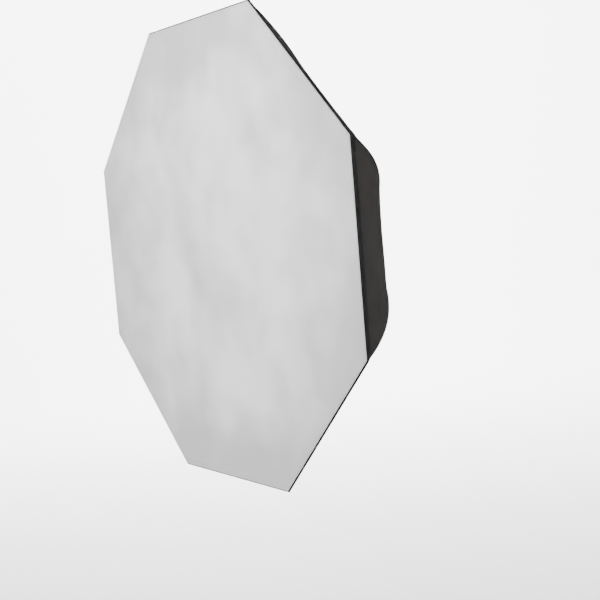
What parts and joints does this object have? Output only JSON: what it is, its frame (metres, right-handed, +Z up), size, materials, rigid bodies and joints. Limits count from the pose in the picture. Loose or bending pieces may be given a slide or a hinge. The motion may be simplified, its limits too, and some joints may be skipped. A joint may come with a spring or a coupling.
{
  "type": "studio softbox",
  "caption": "Octagonal studio softbox with a black cloth shell on sprung rods, a white front diffuser, an inner baffle and a rotating bayonet speedring.",
  "frame": {"origin": "centre of the flash bore at the bayonet insert's seat face, which meets the flash head", "axes": "+Y along the optical axis towards the flash head, -Y the way the softbox shines, +Z up, square to one of the octagon's sides"},
  "size_m": [1.3882, 0.5562, 1.3882],
  "materials": {
    "insert_metal": "black anodised, fine turned",
    "speedring_metal": "black powder coat, fine texture",
    "socket_metal": "natural turned",
    "screw_steel": "zinc plated",
    "ferrule_steel": "polished by use",
    "stud_metal": "plated",
    "knob_plastic": "black moulded",
    "nylon": "natural nylon",
    "rod_fibreglass": "pultruded fibreglass, dark grey",
    "cap_rubber": "moulded",
    "shell_cloth": "black nylon outside, silver inside",
    "binding_cloth": "black woven edging",
    "seam_tape": "taped seam allowance",
    "webbing": "black webbing",
    "loop_tape": "black loop pile",
    "hook_tape": "white hook pile",
    "diffuser_cloth": "white translucent nylon",
    "elastic": "covered elastic cord"
  },
  "bodies": {
    "insert": {"bayonet_insert": "insert_metal", "insert_retainer": "insert_metal", "retainer_screws": "screw_steel", "glide_washer": "nylon"},
    "softbox": {"speedring": "speedring_metal", "rod_sockets": "socket_metal", "rod_ferrules": "ferrule_steel", "rod_caps": "cap_rubber", "corner_pockets": "webbing", "rod_keepers": "webbing", "seam_bindings": "seam_tape", "rim_binding": "binding_cloth", "rear_collar": "shell_cloth", "collar_elastic": "elastic", "rim_webbing": "webbing", "rim_loop_tape": "loop_tape", "inner_baffle": "diffuser_cloth", "baffle_hem": "diffuser_cloth", "baffle_straps": "webbing", "press_studs": "stud_metal", "rod_1": "rod_fibreglass", "rod_2": "rod_fibreglass", "rod_3": "rod_fibreglass", "rod_4": "rod_fibreglass", "rod_5": "rod_fibreglass", "rod_6": "rod_fibreglass", "rod_7": "rod_fibreglass", "rod_8": "rod_fibreglass", "shell_panel_1": "shell_cloth", "shell_panel_2": "shell_cloth", "shell_panel_3": "shell_cloth", "shell_panel_4": "shell_cloth", "shell_panel_5": "shell_cloth", "shell_panel_6": "shell_cloth", "shell_panel_7": "shell_cloth", "shell_panel_8": "shell_cloth"},
    "lock_pad": {"lock_pad": "nylon"},
    "lock_knob": {"lock_knob": "knob_plastic"},
    "diffuser": {"diffuser_hook_tape": "hook_tape", "diffuser_hem": "diffuser_cloth", "front_diffuser": "diffuser_cloth"}
  },
  "joints": [
    {"name": "speedring_turn", "type": "hinge", "parent": "insert", "child": "softbox", "pos_m": [0, -0.0168, 0], "axis": [0, 1, 0], "continuous": true},
    {"name": "lock_travel", "type": "slide", "parent": "softbox", "child": "lock_pad", "axis": [0, 0, -1], "range_m": [0, 0.0025]},
    {"name": "lock_turn", "type": "hinge", "parent": "lock_pad", "child": "lock_knob", "pos_m": [0, -0.016, -0.095], "axis": [0, 0, -1], "range_deg": [0, 720]},
    {"name": "diffuser_pull", "type": "slide", "parent": "softbox", "child": "diffuser", "axis": [0, -1, 0], "range_m": [0, 0.3]}
  ],
  "couplings": [
    {"joint": "lock_turn", "follows": "lock_travel", "rad_per_m": 5026.5}
  ]
}
